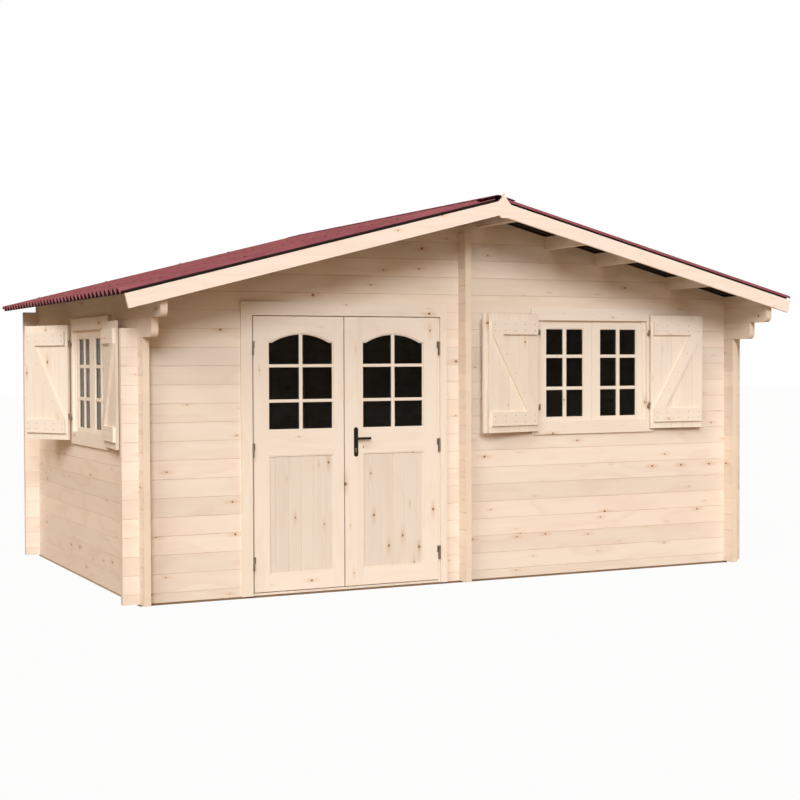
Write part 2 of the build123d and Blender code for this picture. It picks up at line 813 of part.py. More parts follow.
def shutters():
    """The four shutters at the angles the photo shows, with their hinges."""
    reach = window_width / 2 - shutter_axis_in
    front_z = front_window_bottom + (window_logs * log_height - shutter_height) / 2 - shutter_low
    left_z = front_z - log_height / 2
    axis_out = shutter_axis_out()
    rows = (("front_left_shutter", front_place(front_window_x - reach, front_z), -1, True, open_front_left),
            ("front_right_shutter", front_place(front_window_x + reach, front_z), 1, False, open_front_right),
            ("side_far_shutter", left_place(left_window_y + reach, left_z), -1, True, open_side_far),
            ("side_near_shutter", left_place(left_window_y - reach, left_z), 1, False, open_side_near))
    nodes = {}
    brackets = []
    for name, place, hand, with_lath, off_wall in rows:
        swing = Pos(0, -axis_out, 0) * Rot(0, 0, -hand * off_wall) * Pos(0, axis_out, 0)
        nodes[name] = place * swing * shutter_solid(hand, with_lath)
        nodes[name + "_hinges"] = place * swing * shutter_knuckles(hand)
        brackets += [place * bracket for bracket in shutter_brackets()]
    return nodes, brackets


def build():
    nodes = {"base_runners": base_runners(), "floor_deck": floor_deck()}
    nodes.update(front_walls())
    nodes.update(side_walls())
    nodes["rear_wall"] = rear_wall()
    nodes["cross_log_ends"] = cross_walls()
    nodes["purlins"] = Compound([bearer.solid() for bearer in all_purlins()])
    nodes["front_barge_left"] = barge_left(front_barge_face, eave_left)
    nodes["front_barge_right"] = barge_right(front_barge_face, eave_right)
    nodes["roof_sheet_left"] = roof_sheet(-1, eave_left)
    nodes["roof_sheet_right"] = roof_sheet(1, eave_right)
    nodes["ridge_cap"] = ridge_cap()
    nodes["door_frame"] = door_frame()
    for name, place, bottom, top in (
            ("front_window", front_place(front_window_x, 0), front_window_bottom, opening_top),
            ("left_window", left_place(left_window_y, 0), side_window_bottom, side_window_top)):
        nodes[name + "_frame"] = place * window_frame_solid(bottom, top)
        nodes[name + "_sashes"] = place * window_sashes(bottom, top)
        nodes[name + "_glass"] = place * window_glass(bottom, top)
    left_span = (door_left, door_meet - door_gap / 2, stile_width, meeting_stile_left)
    right_span = (door_meet + door_gap / 2, door_right, meeting_stile_right, stile_width + jamb_clear)
    nodes["left_leaf"] = leaf(*left_span)
    nodes["left_leaf_glass"] = leaf_glass(*left_span)
    nodes["left_leaf_hinges"] = leaf_hinges(-1)
    nodes["right_leaf"] = leaf(*right_span)
    nodes["right_leaf_glass"] = leaf_glass(*right_span)
    nodes["right_leaf_hinges"] = leaf_hinges(1)
    nodes["handle_plates"] = handle_plates()
    nodes["lever"] = lever()
    shutter_nodes, brackets = shutters()
    nodes.update(shutter_nodes)
    fixed = door_fixed_hinges(-1) + door_fixed_hinges(1) + [bracket.solid() for bracket in brackets]
    nodes["fixed_hinges"] = Compound(fixed)
    return nodes


os.makedirs("parts", exist_ok=True)
for node_name, shape in build().items():
    export_step(shape, f"parts/{node_name}.step")
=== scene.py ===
import math

import bpy
import bmesh
from mathutils import Matrix, Vector


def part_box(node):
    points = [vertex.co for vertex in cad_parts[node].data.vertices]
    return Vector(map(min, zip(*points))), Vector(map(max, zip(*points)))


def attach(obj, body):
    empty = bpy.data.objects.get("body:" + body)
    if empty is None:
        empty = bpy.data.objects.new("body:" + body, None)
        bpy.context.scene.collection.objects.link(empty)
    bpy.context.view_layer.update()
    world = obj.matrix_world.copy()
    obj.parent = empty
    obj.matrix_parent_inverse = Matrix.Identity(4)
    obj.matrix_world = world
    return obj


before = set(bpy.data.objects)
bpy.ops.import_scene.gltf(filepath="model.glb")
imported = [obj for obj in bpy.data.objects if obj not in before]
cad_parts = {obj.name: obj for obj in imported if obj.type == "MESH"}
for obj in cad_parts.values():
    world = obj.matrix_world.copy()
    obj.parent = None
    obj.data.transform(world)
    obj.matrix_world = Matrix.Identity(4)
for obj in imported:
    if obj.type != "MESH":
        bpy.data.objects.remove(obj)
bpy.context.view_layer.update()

# Places in metres, from the CAD nodes and the part's own sizes
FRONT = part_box("front_wall_left")[0].y
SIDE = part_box("left_wall_rear")[0].x
LOG = 0.12
LONG_SEAM = 0.075
SIDE_SEAM = 0.015
LEAF_FACE, LEAF_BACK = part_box("left_leaf")[0].y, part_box("left_leaf")[1].y
FRONT_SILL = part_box("front_wall_under_window")[1].z
LEFT_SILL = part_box("left_wall_under_window")[1].z
PANEL = (0.148, 0.926)
LIGHT_FOOT, SPRING, CROWN = 1.090, 1.671, 1.725
PANE_FIT = 0.0003
LIGHTS = [(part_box(n)[0].x - PANE_FIT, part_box(n)[1].x + PANE_FIT)
          for n in ("left_leaf_glass", "right_leaf_glass")]
BETWEEN_LEAVES = -0.89
HEADER_FOOT = 1.842
PANEL_BOARD, STILE_BOARD = 0.09, 0.2

# A window: distances from its centre line and from its sill
PANE_NEAR, PANE_FAR = 0.069, 0.3875
PANE_FOOT, PANE_HEAD = 0.096, 0.734
CASING_FOOT, CASING_HEAD = 0.069, 0.791
CASING_FACE = -0.020

# A shutter, in its own frame
HINGE_REACH, SHUTTER_LIFT = 0.4675, 0.005
BOARDS_FACE, BATTENS_FACE = -0.043, -0.061
RAISED_FACE = -0.0434
SHUTTER_BOARD, SHUTTER_BOARDS = 0.0904, 5
SHUTTER_NEAR, SHUTTER_FAR = 0.012, 0.464
BATTENS = ((0.046, 0.146), (0.682, 0.782))
BRACE_ACROSS, BRACE_UP = 0.506, 0.862

# The roof: pitch, waves of the sheets, and the bearers' places on each slope
ROOF_PITCH = 14.332
WAVE, WAVES = 0.095, 36
BEARERS = (0.165, 0.700, 1.120, 1.740, 2.278)

# Colours
PALE, PALE_DARK = (0.880, 0.765, 0.655), (0.765, 0.605, 0.475)
JOINERY, JOINERY_DARK = (0.885, 0.785, 0.680), (0.810, 0.675, 0.540)
BARGE, BARGE_DARK = (0.930, 0.815, 0.715), (0.850, 0.690, 0.580)
BROWN, BROWN_DARK = (0.30, 0.19, 0.11), (0.19, 0.115, 0.06)
WHITE = (1, 1, 1)
FLOOR_DARK, FLOOR_LIGHT, FLOOR_GLOW = (0.38, 0.30, 0.22), (0.41, 0.33, 0.25), 0.97
AMBIENT = 0.68
LOW_LIGHT, HIGH_LIGHT = (0.34, 0.19, 0.075), (0.88, 0.66, 0.44)
ALONG_NORMAL = 0.7

front_window = Matrix.Translation((1.076, FRONT, 0))
left_window = Matrix.Translation((SIDE, -0.281, 0)) @ Matrix.Rotation(math.radians(-90), 4, "Z")


def shutter_place(window, side, sill, hand, off_wall):
    """A shutter's own frame: hinge axis at x 0, outer face of its boards at BOARDS_FACE, foot at z 0."""
    swing = Matrix.Rotation(math.radians(-hand * off_wall), 4, "Z")
    out = Matrix.Translation((0, BOARDS_FACE, 0))
    foot = Matrix.Translation((side * HINGE_REACH, 0, sill + SHUTTER_LIFT))
    return window @ foot @ out @ swing @ out.inverted()


shutters = {
    "front_left": (shutter_place(front_window, -1, FRONT_SILL, -1, 10.0), -1),
    "front_right": (shutter_place(front_window, 1, FRONT_SILL, 1, 3.0), 1),
    "side_far": (shutter_place(left_window, -1, LEFT_SILL, -1, 28.7), -1),
    "side_near": (shutter_place(left_window, 1, LEFT_SILL, 1, 5.0), 1),
}


# Materials

class Tree:
    """Short calls for building a material's nodes."""

    def __init__(self, name):
        self.material = bpy.data.materials.new(name)
        self.material.use_nodes = True
        self.tree = self.material.node_tree
        self.tree.nodes.clear()
        self.shader = self.add("ShaderNodeBsdfPrincipled")
        self.out = self.add("ShaderNodeOutputMaterial")
        self.link(self.shader.outputs[0], self.out.inputs[0])

    def add(self, kind, **props):
        node = self.tree.nodes.new(kind)
        for key, value in props.items():
            setattr(node, key, value)
        return node

    def link(self, a, b):
        self.tree.links.new(a, b)

    def feed(self, socket, value):
        if isinstance(value, bpy.types.NodeSocket):
            self.link(value, socket)
        else:
            socket.default_value = value

    def math(self, op, a, b=None, c=None, clamp=False):
        node = self.add("ShaderNodeMath", operation=op, use_clamp=clamp)
        for socket, value in zip(node.inputs, (a, b, c)):
            if value is not None:
                self.feed(socket, value)
        return node.outputs[0]

    def sum(self, *terms):
        total = terms[0]
        for term in terms[1:]:
            total = self.math("ADD", total, term)
        return total

    def pick(self, mask, a, b):
        """a where the mask is 0, b where it is 1."""
        return self.math("MULTIPLY_ADD", mask, self.math("SUBTRACT", b, a), a)

    def inside(self, value, low, high):
        above, below = self.math("GREATER_THAN", value, low), self.math("LESS_THAN", value, high)
        return self.math("MULTIPLY", above, below)

    def product(self, *terms):
        total = terms[0]
        for term in terms[1:]:
            total = self.math("MULTIPLY", total, term)
        return total

    def inverse(self, mask):
        return self.math("SUBTRACT", 1.0, mask)

    def length(self, a, b):
        """The length of the diagonal over a and b."""
        return self.math("SQRT", self.math("ADD", self.math("MULTIPLY", a, a), self.math("MULTIPLY", b, b)))

    def stretched(self, x, y, z, by_x, by_y, by_z):
        """A point with each coordinate multiplied by its own number."""
        return self.vec(self.math("MULTIPLY", x, by_x), self.math("MULTIPLY", y, by_y),
                        self.math("MULTIPLY", z, by_z))

    def faces_along(self, normal):
        """1 where the surface looks along this axis, as end grain does."""
        return self.math("GREATER_THAN", self.math("ABSOLUTE", normal), ALONG_NORMAL)

    def vec(self, x, y, z):
        node = self.add("ShaderNodeCombineXYZ")
        for socket, value in zip(node.inputs, (x, y, z)):
            self.feed(socket, value)
        return node.outputs[0]

    def split(self, vector):
        node = self.add("ShaderNodeSeparateXYZ")
        self.link(vector, node.inputs[0])
        return node.outputs

    def noise(self, vector, scale=1.0, detail=4.0, rough=0.55, distort=0.0):
        node = self.add("ShaderNodeTexNoise")
        self.link(vector, node.inputs["Vector"])
        node.inputs["Scale"].default_value = scale
        node.inputs["Detail"].default_value = detail
        node.inputs["Roughness"].default_value = rough
        node.inputs["Distortion"].default_value = distort
        return node.outputs["Fac"]

    def white(self, value):
        node = self.add("ShaderNodeTexWhiteNoise", noise_dimensions="1D")
        self.link(value, node.inputs["W"])
        return self.parts(node.outputs["Color"])

    def parts(self, color):
        node = self.add("ShaderNodeSeparateColor")
        self.link(color, node.inputs[0])
        return node.outputs

    def ramp(self, fac, stops):
        node = self.add("ShaderNodeValToRGB")
        self.link(fac, node.inputs[0])
        elements = node.color_ramp.elements
        while len(elements) < len(stops):
            elements.new(0.5)
        for element, (place, color) in zip(elements, stops):
            element.position = place
            element.color = (*color, 1.0)
        return node.outputs[0]

    def mix(self, fac, a, b, blend="MIX"):
        node = self.add("ShaderNodeMix", data_type="RGBA", blend_type=blend)
        self.feed(node.inputs[0], fac)
        for socket, value in ((node.inputs[6], a), (node.inputs[7], b)):
            self.feed(socket, (*value, 1.0) if isinstance(value, tuple) else value)
        return node.outputs[2]

    def bump(self, height, strength, distance):
        node = self.add("ShaderNodeBump")
        self.link(height, node.inputs["Height"])
        node.inputs["Strength"].default_value = strength
        node.inputs["Distance"].default_value = distance
        self.link(node.outputs[0], self.shader.inputs["Normal"])

    def coords(self, place=None):
        """Object coordinates and normal, turned into a piece's own frame if a place is given."""
        node = self.add("ShaderNodeTexCoord")
        spots = node.outputs["Object"], node.outputs["Normal"]
        if place is None:
            return spots
        back = place.inverted()
        turned = []
        for spot, kind in zip(spots, ("POINT", "VECTOR")):
            m = self.add("ShaderNodeMapping", vector_type=kind)
            self.link(spot, m.inputs["Vector"])
            m.inputs["Rotation"].default_value = back.to_euler()
            if kind == "POINT":
                m.inputs["Location"].default_value = back.translation
            turned.append(m.outputs[0])
        return turned


# How the boards lie in a piece: u runs along the grain, v across it, w into the depth

def rows(along, pitch, start, place=None):
    """Parallel logs or boards of one pitch."""
    def lay(t):
        spot, normal = t.coords(place)
        x, y, z = t.split(spot)
        nx, ny, nz = t.split(normal)
        u, v, w, n = {"x": (x, z, y, nx), "y": (y, z, x, ny), "z": (z, x, y, nz), "yx": (y, x, z, ny)}[along]
        row = t.math("FLOOR", t.math("DIVIDE", t.math("SUBTRACT", v, start), pitch))
        return {"u": u, "v": v, "w": w, "row": row, "pitch": pitch, "joint": 1.0, "dim": None,
                "centre": t.math("MULTIPLY_ADD", row, pitch, start + pitch / 2),
                "end": t.faces_along(n)}
    return lay


def framed(lying, place=None, board=0.25):
    """A frame of upright pieces, with grain that lies flat where lying says so."""
    def lay(t):
        spot, normal = t.coords(place)
        x, y, z = t.split(spot)
        nx, ny, nz = t.split(normal)
        flat = lying(t, x, y, z)
        v = t.pick(flat, x, z)
        row = t.math("FLOOR", t.math("DIVIDE", v, board))
        return {"u": t.pick(flat, z, x), "v": v, "w": y, "pitch": board, "joint": 0.0, "dim": None,
                "row": t.math("MULTIPLY_ADD", flat, 37.0, row),
                "centre": t.math("MULTIPLY_ADD", row, board, board / 2),
                "end": t.faces_along(t.pick(flat, nz, nx))}
    return lay


def header_lies(t, x, y, z):
    return t.math("GREATER_THAN", z, HEADER_FOOT)


def casing_lies(sill):
    def lying(t, x, y, z):
        return t.inverse(t.inside(z, sill + CASING_FOOT, sill + CASING_HEAD))
    return lying


def sash_lies(sill):
    def lying(t, x, y, z):
        between = t.inside(t.math("ABSOLUTE", x), PANE_NEAR, PANE_FAR)
        return t.math("MULTIPLY", between, t.inverse(t.inside(z, sill + PANE_FOOT, sill + PANE_HEAD)))
    return lying


def leaf_lay(t):
    """Door leaf: upright stiles, rails that lie flat, and a darker panel of narrow boards."""
    spot, normal = t.coords()
    x, y, z = t.split(spot)
    nz = t.split(normal)[2]
    between = t.math("MAXIMUM", t.inside(x, *LIGHTS[0]), t.inside(x, *LIGHTS[1]))
    panel = t.math("MULTIPLY", between, t.inside(z, *PANEL))
    rail = t.math("SUBTRACT", between, panel)
    v = t.pick(rail, x, z)
    middles = [sum(light) / 2 for light in LIGHTS]
    start = t.pick(t.math("GREATER_THAN", x, BETWEEN_LEAVES), middles[0], middles[1])
    board = t.math("FLOOR", t.math("DIVIDE", t.math("SUBTRACT", x, start), PANEL_BOARD))
    wide = t.math("FLOOR", t.math("DIVIDE", v, STILE_BOARD))
    row = t.pick(panel, t.math("MULTIPLY_ADD", rail, 40.0, wide), t.math("ADD", board, 90.0))
    centre = t.pick(panel, t.math("MULTIPLY_ADD", wide, STILE_BOARD, STILE_BOARD / 2),
                    t.math("ADD", t.math("MULTIPLY_ADD", board, PANEL_BOARD, PANEL_BOARD / 2), start))
    return {"u": t.pick(rail, z, x), "v": v, "w": y, "row": row, "centre": centre, "pitch": PANEL_BOARD,
            "joint": t.math("MULTIPLY", panel, 0.4), "dim": panel,
            "end": t.math("MULTIPLY", t.faces_along(nz), t.inverse(between))}


def shutter_lay(place, hand):
    """Shutter: narrow upright boards, two battens that lie flat, a slanting brace."""
    def lay(t):
        spot, normal = t.coords(place)
        x, y, z = t.split(spot)
        nz = t.split(normal)[2]
        raised = t.math("LESS_THAN", y, RAISED_FACE)
        flat = t.math("MAXIMUM", t.inside(z, *BATTENS[0]), t.inside(z, *BATTENS[1]))
        batten = t.math("MULTIPLY", raised, flat)
        brace = t.math("SUBTRACT", raised, batten)
        across = hand * BRACE_ACROSS
        slant_u = t.math("ADD", t.math("MULTIPLY", x, across), t.math("MULTIPLY", z, BRACE_UP))
        slant_v = t.math("SUBTRACT", t.math("MULTIPLY", x, BRACE_UP), t.math("MULTIPLY", z, across))
        u = t.pick(brace, t.pick(batten, z, x), slant_u)
        v = t.pick(brace, t.pick(batten, x, z), slant_v)
        start = SHUTTER_NEAR if hand > 0 else -SHUTTER_FAR
        row = t.math("FLOOR", t.math("DIVIDE", t.math("SUBTRACT", x, start), SHUTTER_BOARD))
        plain = t.inverse(raised)
        return {"u": u, "v": v, "w": y, "pitch": SHUTTER_BOARD, "joint": plain, "dim": None,
                "row": t.pick(raised, row, t.math("MULTIPLY_ADD", flat, 5.0, 30.0)),
                "centre": t.math("MULTIPLY_ADD", row, SHUTTER_BOARD, start + SHUTTER_BOARD / 2),
                "end": t.math("MULTIPLY", t.faces_along(nz), plain)}
    return lay


def knot_masks(t, u, v, knots, seed):
    """Masks of the knots, of their dark cores, and of the grain that bends round them."""
    cell_u, cell_v = 0.30, 0.11
    spot = t.add("ShaderNodeTexVoronoi", voronoi_dimensions="2D", feature="F1")
    spot.inputs["Scale"].default_value = 1.0
    at = t.vec(t.math("DIVIDE", u, cell_u), t.math("ADD", t.math("DIVIDE", v, cell_v), seed), 0.0)
    t.link(at, spot.inputs["Vector"])
    away = t.add("ShaderNodeVectorMath", operation="SUBTRACT")
    t.link(at, away.inputs[0])
    t.link(spot.outputs["Position"], away.inputs[1])
    du, dv, _ = t.split(away.outputs[0])
    du, dv = t.math("MULTIPLY", du, cell_u), t.math("MULTIPLY", dv, cell_v)
    luck = t.parts(spot.outputs["Color"])
    has = t.math("GREATER_THAN", luck[0], 1.0 - knots)
    radius = t.math("MULTIPLY_ADD", t.math("POWER", luck[1], 2.0), 0.0085, 0.0028)
    radius = t.math("MULTIPLY", radius, has)
    wobble = t.noise(t.vec(t.math("MULTIPLY", u, 90.0), t.math("MULTIPLY", v, 90.0), 0.0), 1.0, 2.0)
    flattened = t.math("MULTIPLY", du, t.math("MULTIPLY", du, 0.7))
    far = t.math("SQRT", t.math("ADD", flattened, t.math("MULTIPLY", dv, dv)))
    far = t.math("MULTIPLY_ADD", t.math("SUBTRACT", wobble, 0.5), 0.003, far)
    knot = t.math("DIVIDE", t.math("SUBTRACT", radius, far), 0.0022, clamp=True)
    core = t.math("DIVIDE", t.math("SUBTRACT", t.math("MULTIPLY", radius, 0.6), far), 0.0025, clamp=True)
    spindle = t.length(t.math("MULTIPLY", du, 0.28), dv)
    reach = t.math("SUBTRACT", t.math("MULTIPLY_ADD", radius, 1.6, 0.008), spindle)
    near = t.math("MULTIPLY", t.math("DIVIDE", reach, 0.016, clamp=True), has)
    return knot, core, near


def growth_rings(t, u, v, w, centre, rand, near):
    """The late wood of rings round a pith that lies near the board, and the fibres' fine noise."""
    sway = t.math("SUBTRACT", t.noise(t.stretched(u, v, w, 1.1, 3.0, 3.0), 1.0, 2.0), 0.5)
    side = t.math("SUBTRACT", v, centre)
    side = t.math("MULTIPLY_ADD", t.math("SUBTRACT", rand[1], 0.5), 0.08, side)
    side = t.math("MULTIPLY_ADD", sway, 0.07, side)
    side = t.math("MULTIPLY_ADD", near, 0.009, side)
    depth = t.math("SUBTRACT", t.math("ADD", w, 0.03), t.math("MULTIPLY", rand[2], 0.05))
    depth = t.math("MULTIPLY_ADD", sway, 0.03, depth)
    fine = t.noise(t.stretched(u, v, w, 6.0, 180.0, 180.0), 1.0, 3.0)
    from_pith = t.math("DIVIDE", t.length(side, depth), 0.0068)
    rings = t.math("FRACT", t.math("MULTIPLY_ADD", fine, 0.35, from_pith))
    late = t.ramp(rings, [(0.0, (0, 0, 0)), (0.5, (0.12,) * 3), (0.86, WHITE), (1.0, (0, 0, 0))])
    return late, fine


def seam_line(t, b, u, seam):
    """The joint between two boards, closed here and there."""
    edge = t.math("SUBTRACT", b["pitch"] / 2, t.math("ABSOLUTE", t.math("SUBTRACT", b["v"], b["centre"])))
    line = t.math("DIVIDE", t.math("SUBTRACT", seam, edge), seam * 0.8, clamp=True)
    line = t.product(line, t.inverse(b["end"]), b["joint"])
    worn = t.noise(t.vec(t.math("MULTIPLY", u, 2.6), b["centre"], 0.0), 1.0, 2.0)
    return t.math("MULTIPLY", line, t.math("MULTIPLY_ADD", worn, 1.6, -0.35, clamp=True))


def wood(name, lay, light, dark, knots=0.4, seam=0.0, seed=0.0, tint=0.10, streak=0.5, deep=0.0):
    """Planed spruce: growth rings cut lengthwise, soft streaks, knots, and a tint for each board."""
    t = Tree(name)
    b = lay(t)
    v, w = b["v"], b["w"]
    rand = t.white(t.math("ADD", b["row"], seed))
    u = t.math("MULTIPLY_ADD", rand[0], 37.0, b["u"])
    knot, core, near = knot_masks(t, u, v, knots, seed)
    late, fine = growth_rings(t, u, v, w, b["centre"], rand, near)
    wide = t.noise(t.stretched(u, v, w, 0.9, 24.0, 24.0), 1.0, 4.0, 0.6, 0.5)
    wide = t.math("MULTIPLY_ADD", t.math("SUBTRACT", wide, 0.5), 1.9 * streak, 0.5, clamp=True)
    blotch = t.noise(t.stretched(u, v, w, 2.2, 7.0, 7.0), 1.0, 2.0)
    mixed = t.sum(t.math("MULTIPLY", late, 0.28), t.math("MULTIPLY", wide, 0.52),
                  t.math("MULTIPLY", blotch, 0.24))
    colour = t.mix(t.math("MINIMUM", mixed, 1.0), light, dark)
    warm = t.mix(t.math("MULTIPLY", rand[1], tint * 4.0, clamp=True), WHITE, (1.0, 0.95, 0.87))
    colour = t.mix(1.0, colour, warm, "MULTIPLY")
    shade = t.math("MULTIPLY_ADD", rand[0], tint, 1.0 - tint * 0.6)
    if b["dim"] is not None:
        shade = t.math("MULTIPLY", shade, t.math("MULTIPLY_ADD", b["dim"], -deep, 1.0))
    colour = t.mix(1.0, colour, t.vec(shade, shade, shade), "MULTIPLY")
    halo = t.mix(t.math("MULTIPLY", near, 0.42), WHITE, (0.80, 0.60, 0.40))
    colour = t.mix(1.0, colour, halo, "MULTIPLY")
    colour = t.mix(t.math("MULTIPLY", knot, 0.72), colour, (0.30, 0.145, 0.065))
    colour = t.mix(t.math("MULTIPLY", core, 0.75), colour, (0.13, 0.055, 0.025))
    # End grain is a little darker and warmer
    rounds = t.mix(t.math("MULTIPLY", late, 0.5), (0.80, 0.64, 0.46), (0.60, 0.42, 0.26))
    colour = t.mix(t.math("MULTIPLY", b["end"], 0.5), colour, rounds)
    height = t.math("ADD", t.math("MULTIPLY", late, 0.4), t.math("MULTIPLY", fine, 0.6))
    height = t.math("MULTIPLY_ADD", knot, -0.6, height)
    if seam:
        line = seam_line(t, b, u, seam)
        colour = t.mix(t.math("MULTIPLY", line, 0.5), colour, (0.40, 0.24, 0.13))
        height = t.math("MULTIPLY_ADD", line, -3.0, height)
    t.link(colour, t.shader.inputs["Base Color"])
    t.link(t.math("MULTIPLY_ADD", wide, 0.16, 0.50), t.shader.inputs["Roughness"])
    t.shader.inputs["Specular IOR Level"].default_value = 0.28
    t.bump(height, 0.22, 0.0006)
    return t.material


def roof_material(name):
    """Burgundy fibre sheet: speckled and weathered on top, near-black underneath as painted shade."""
    t = Tree(name)
    spot, normal = t.coords()
    x, y, z = t.split(spot)
    nz = t.split(normal)[2]
    grit = t.noise(spot, 900.0, 3.0, 0.7)
    cloud = t.noise(spot, 5.0, 4.0, 0.6)
    run = t.noise(t.stretched(x, y, z, 2.0, 30.0, 2.0))
    mixed = t.sum(t.math("MULTIPLY", grit, 0.42), t.math("MULTIPLY", cloud, 0.36),
                  t.math("MULTIPLY", run, 0.22))
    colour = t.ramp(mixed, [(0.30, (0.150, 0.030, 0.042)), (0.52, (0.265, 0.072, 0.088)),
                            (0.75, (0.42, 0.155, 0.165))])
    dust = t.math("MULTIPLY_ADD", t.noise(spot, 17.0, 5.0, 0.7), 1.6, -0.85, clamp=True)
    colour = t.mix(t.math("MULTIPLY", dust, 0.30), colour, (0.45, 0.33, 0.30))
    # Painted shade: faces that look downward are coloured near-black, standing in for the shade under the
    # roof.
    colour = t.mix(t.math("LESS_THAN", nz, -0.05), colour, (0.014, 0.010, 0.009))
    t.link(colour, t.shader.inputs["Base Color"])
    t.link(t.math("MULTIPLY_ADD", grit, 0.25, 0.60), t.shader.inputs["Roughness"])
    t.shader.inputs["Specular IOR Level"].default_value = 0.3
    t.bump(t.math("MULTIPLY_ADD", cloud, 0.5, grit), 0.35, 0.0008)
    return t.material


def metal_material(name, light, dark, rough, metallic=1.0):
    """Plated or patinated metal with fine mottling and brighter rubbed spots."""
    t = Tree(name)
    spot, _ = t.coords()
    grain = t.noise(spot, 260.0, 4.0, 0.65)
    cloud = t.noise(spot, 35.0, 3.0, 0.6)
    mixed = t.math("ADD", t.math("MULTIPLY", grain, 0.5), t.math("MULTIPLY", cloud, 0.5))
    colour = t.ramp(mixed, [(0.3, dark), (0.7, light)])
    t.link(colour, t.shader.inputs["Base Color"])
    t.shader.inputs["Metallic"].default_value = metallic
    t.link(t.math("MULTIPLY_ADD", grain, 0.2, rough), t.shader.inputs["Roughness"])
    t.bump(grain, 0.12, 0.0003)
    return t.material


def glass_material(name):
    """Window glass tinted grey as painted shade, with a trace of dust, so the unlit room behind it stays
    dark.
    """
    t = Tree(name)
    spot, _ = t.coords()
    dust = t.noise(spot, 14.0, 5.0, 0.6)
    # Painted shade: the grey tint darkens what is seen through the glass, standing in for the dark room
    # behind it; the dust noise makes it a little darker in patches.
    colour = t.ramp(dust, [(0.3, (0.32, 0.33, 0.32)), (0.75, (0.26, 0.27, 0.26))])
    t.link(colour, t.shader.inputs["Base Color"])
    t.shader.inputs["Transmission Weight"].default_value = 1.0
    t.shader.inputs["IOR"].default_value = 1.22
    t.link(t.math("MULTIPLY", dust, 0.05), t.shader.inputs["Roughness"])
    return t.material


def floor_material(name):
    """Pale studio floor. Camera rays see most of it as plain white, so it fades into the backdrop."""
    t = Tree(name)
    spot, _ = t.coords()
    colour = t.ramp(t.noise(spot, 2.0, 3.0), [(0.3, FLOOR_DARK), (0.7, FLOOR_LIGHT)])
    t.link(colour, t.shader.inputs["Base Color"])
    t.shader.inputs["Roughness"].default_value = 0.9
    glow = t.add("ShaderNodeEmission")
    path = t.add("ShaderNodeLightPath")
    seen = t.math("MAXIMUM", path.outputs["Is Camera Ray"], path.outputs["Is Transmission Ray"])
    blend = t.add("ShaderNodeMixShader")
    t.link(t.math("MULTIPLY", seen, FLOOR_GLOW), blend.inputs[0])
    t.link(t.shader.outputs[0], blend.inputs[1])
    t.link(glow.outputs[0], blend.inputs[2])
    t.link(blend.outputs[0], t.out.inputs[0])
    return t.material


mats = {
    "logs_x": wood("logs_x", rows("x", LOG, LONG_SEAM), PALE, PALE_DARK, 0.5, 0.0035),
    "logs_y": wood("logs_y", rows("y", LOG, SIDE_SEAM), PALE, PALE_DARK, 0.5, 0.0035, 51.0),
    "cross": wood("cross", rows("y", LOG, SIDE_SEAM), PALE, PALE_DARK, 0.25, 0.0035, 91.0),
    "bars": wood("bars", rows("z", 0.3, 0.0), JOINERY, JOINERY_DARK, 0.1, seed=37.0, tint=0.04),
    "leaf": wood("leaf", leaf_lay, JOINERY, JOINERY_DARK, 0.38, 0.0022, 37.0, 0.05, deep=0.11),
    "door_frame": wood("door_frame", framed(header_lies), JOINERY, JOINERY_DARK, 0.3, seed=23.0, tint=0.06),
    "barge": wood("barge", rows("x", 0.9, 0.0), BARGE, BARGE_DARK, 0.12, seed=71.0, tint=0.05, streak=0.35),
    "purlins": wood("purlins", rows("y", 0.5, 0.0), PALE, PALE_DARK, 0.35, seed=81.0),
    "deck": wood("deck", rows("yx", 0.115, 0.0), PALE, PALE_DARK, 0.4, 0.0015, 99.0),
    "runner": wood("runner", rows("x", 0.5, 0.0), BROWN, BROWN_DARK, 0.0, seed=5.0),
    "roof": roof_material("roof"),
    "zinc": metal_material("zinc", (0.40, 0.33, 0.25), (0.22, 0.17, 0.12), 0.38),
    "bronze": metal_material("bronze", (0.060, 0.046, 0.036), (0.022, 0.017, 0.014), 0.30, 0.85),
    "glass": glass_material("glass"),
}
windows = {"front_window": (front_window, FRONT_SILL), "left_window": (left_window, LEFT_SILL)}
for window, (place, sill) in windows.items():
    mats[window + "_frame"] = wood(window + "_frame", framed(casing_lies(sill), place), JOINERY, JOINERY_DARK,
                                   0.3, seed=sill * 17, tint=0.05)
    mats[window + "_sashes"] = wood(window + "_sashes", framed(sash_lies(sill), place), JOINERY, JOINERY_DARK,
                                    0.15, seed=sill * 29, tint=0.04)
for number, (key, (place, hand)) in enumerate(shutters.items()):
    mats[key + "_shutter"] = wood(key + "_shutter", shutter_lay(place, hand), JOINERY, JOINERY_DARK,
                                  0.3, 0.0026, number * 13.0, 0.06)

look = {
    "base_runners": "runner", "floor_deck": "deck", "front_wall_left": "logs_x",
    "front_wall_centre": "logs_x", "front_wall_under_window": "logs_x", "front_wall_right": "logs_x",
    "front_gable": "logs_x", "rear_wall": "logs_x", "left_wall_front": "logs_y",
    "left_wall_rear": "logs_y", "left_wall_under_window": "logs_y", "left_wall_top": "logs_y",
    "right_wall": "logs_y", "cross_log_ends": "cross", "purlins": "purlins",
    "front_barge_left": "barge", "front_barge_right": "barge", "roof_sheet_left": "roof",
    "roof_sheet_right": "roof", "ridge_cap": "roof", "door_frame": "door_frame", "left_leaf": "leaf",
    "right_leaf": "leaf", "left_leaf_glass": "glass", "right_leaf_glass": "glass",
    "left_leaf_hinges": "zinc", "right_leaf_hinges": "zinc", "fixed_hinges": "zinc",
    "handle_plates": "bronze", "lever": "bronze",
}
for window in windows:
    look[window + "_frame"] = window + "_frame"
    look[window + "_sashes"] = window + "_sashes"
    look[window + "_glass"] = "glass"
for key in shutters:
    look[key + "_shutter"] = key + "_shutter"
    look[key + "_shutter_hinges"] = "zinc"


def dress(obj, material):
    obj.data.materials.clear()
    obj.data.materials.append(material)


